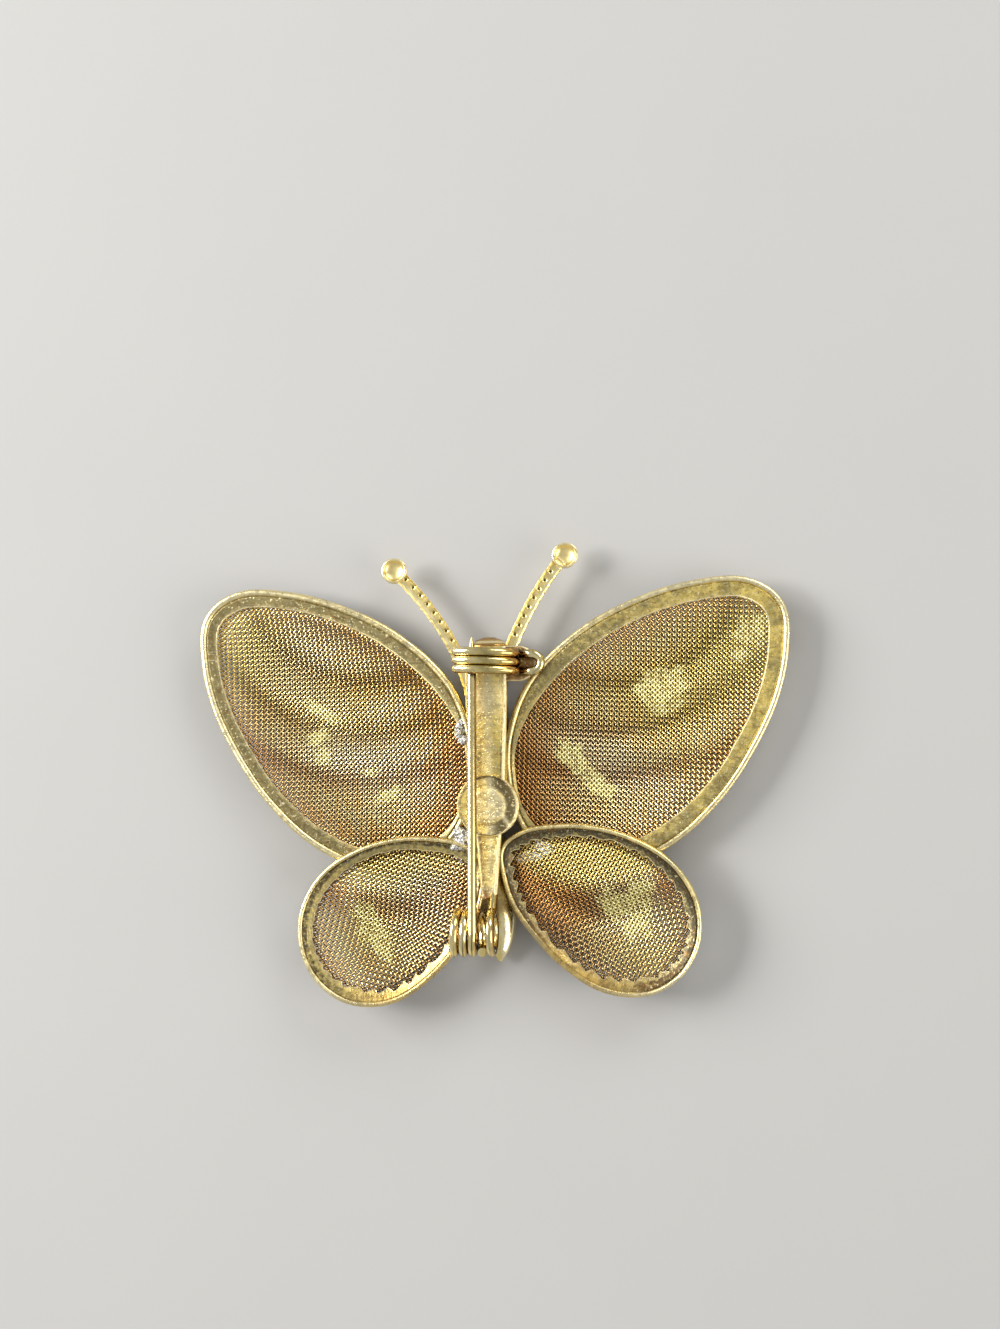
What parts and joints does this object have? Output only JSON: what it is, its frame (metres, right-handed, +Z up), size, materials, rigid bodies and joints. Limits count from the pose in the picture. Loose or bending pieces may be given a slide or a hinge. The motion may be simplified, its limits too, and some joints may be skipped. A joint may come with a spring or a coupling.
{
  "type": "butterfly brooch",
  "caption": "Butterfly brooch lying face down: soldered rims, body and curved feelers, woven wire wings, a bar with a wire catch and a sprung pin.",
  "frame": {"origin": "middle of the part's box, seen from above, at its lowest point, where the fronts of the forewings rest on the floor", "axes": "+X to the right across the wings as the back is seen, +Y from the tail to the feelers, +Z up out of the back, through the pin"},
  "size_m": [0.0602, 0.0463, 0.0095],
  "materials": {
    "gilt_metal": "gilt brass, dulled and pitted with age, bright where it is rubbed",
    "gilt_wire": "woven gilt brass wire, tarnished brown in the gaps",
    "pin_metal": "pale gilt wire, polished by use"
  },
  "bodies": {
    "brooch": {"butterfly_frame": "gilt_metal", "forewing_mesh_right": "gilt_wire", "forewing_mesh_left": "gilt_wire", "hindwing_mesh_right": "gilt_wire", "hindwing_mesh_left": "gilt_wire", "pin_bar": "gilt_metal", "catch": "gilt_metal"},
    "pin": {"pin": "pin_metal"}
  },
  "joints": [
    {"name": "pin_open", "type": "hinge", "parent": "brooch", "child": "pin", "pos_m": [-0.00125, -0.01545, 0.00705], "axis": [1, 0, 0], "range_deg": [0, 45]}
  ]
}
